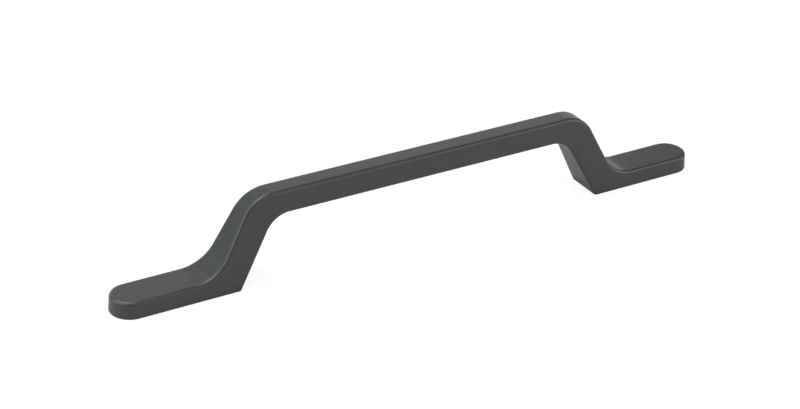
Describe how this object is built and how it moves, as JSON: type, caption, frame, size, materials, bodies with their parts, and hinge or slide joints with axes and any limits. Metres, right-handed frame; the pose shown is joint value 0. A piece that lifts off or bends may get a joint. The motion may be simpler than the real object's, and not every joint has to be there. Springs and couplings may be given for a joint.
{
  "type": "furniture handle",
  "caption": "Slim bow handle for a drawer or cabinet door, with splayed legs, flat round-ended foot tabs and tapped holes in the leg roots.",
  "frame": {"origin": "centre of the mounting face, midway between the two fixing holes, on the surface of the drawer front", "axes": "+X along the handle, +Y across it, +Z away from the drawer front towards the grip"},
  "size_m": [0.2424, 0.015, 0.0335],
  "materials": {
    "handle_coat": "satin black powder coat on a zinc alloy casting"
  },
  "bodies": {
    "root": {"pull_handle": "handle_coat"}
  },
  "joints": []
}
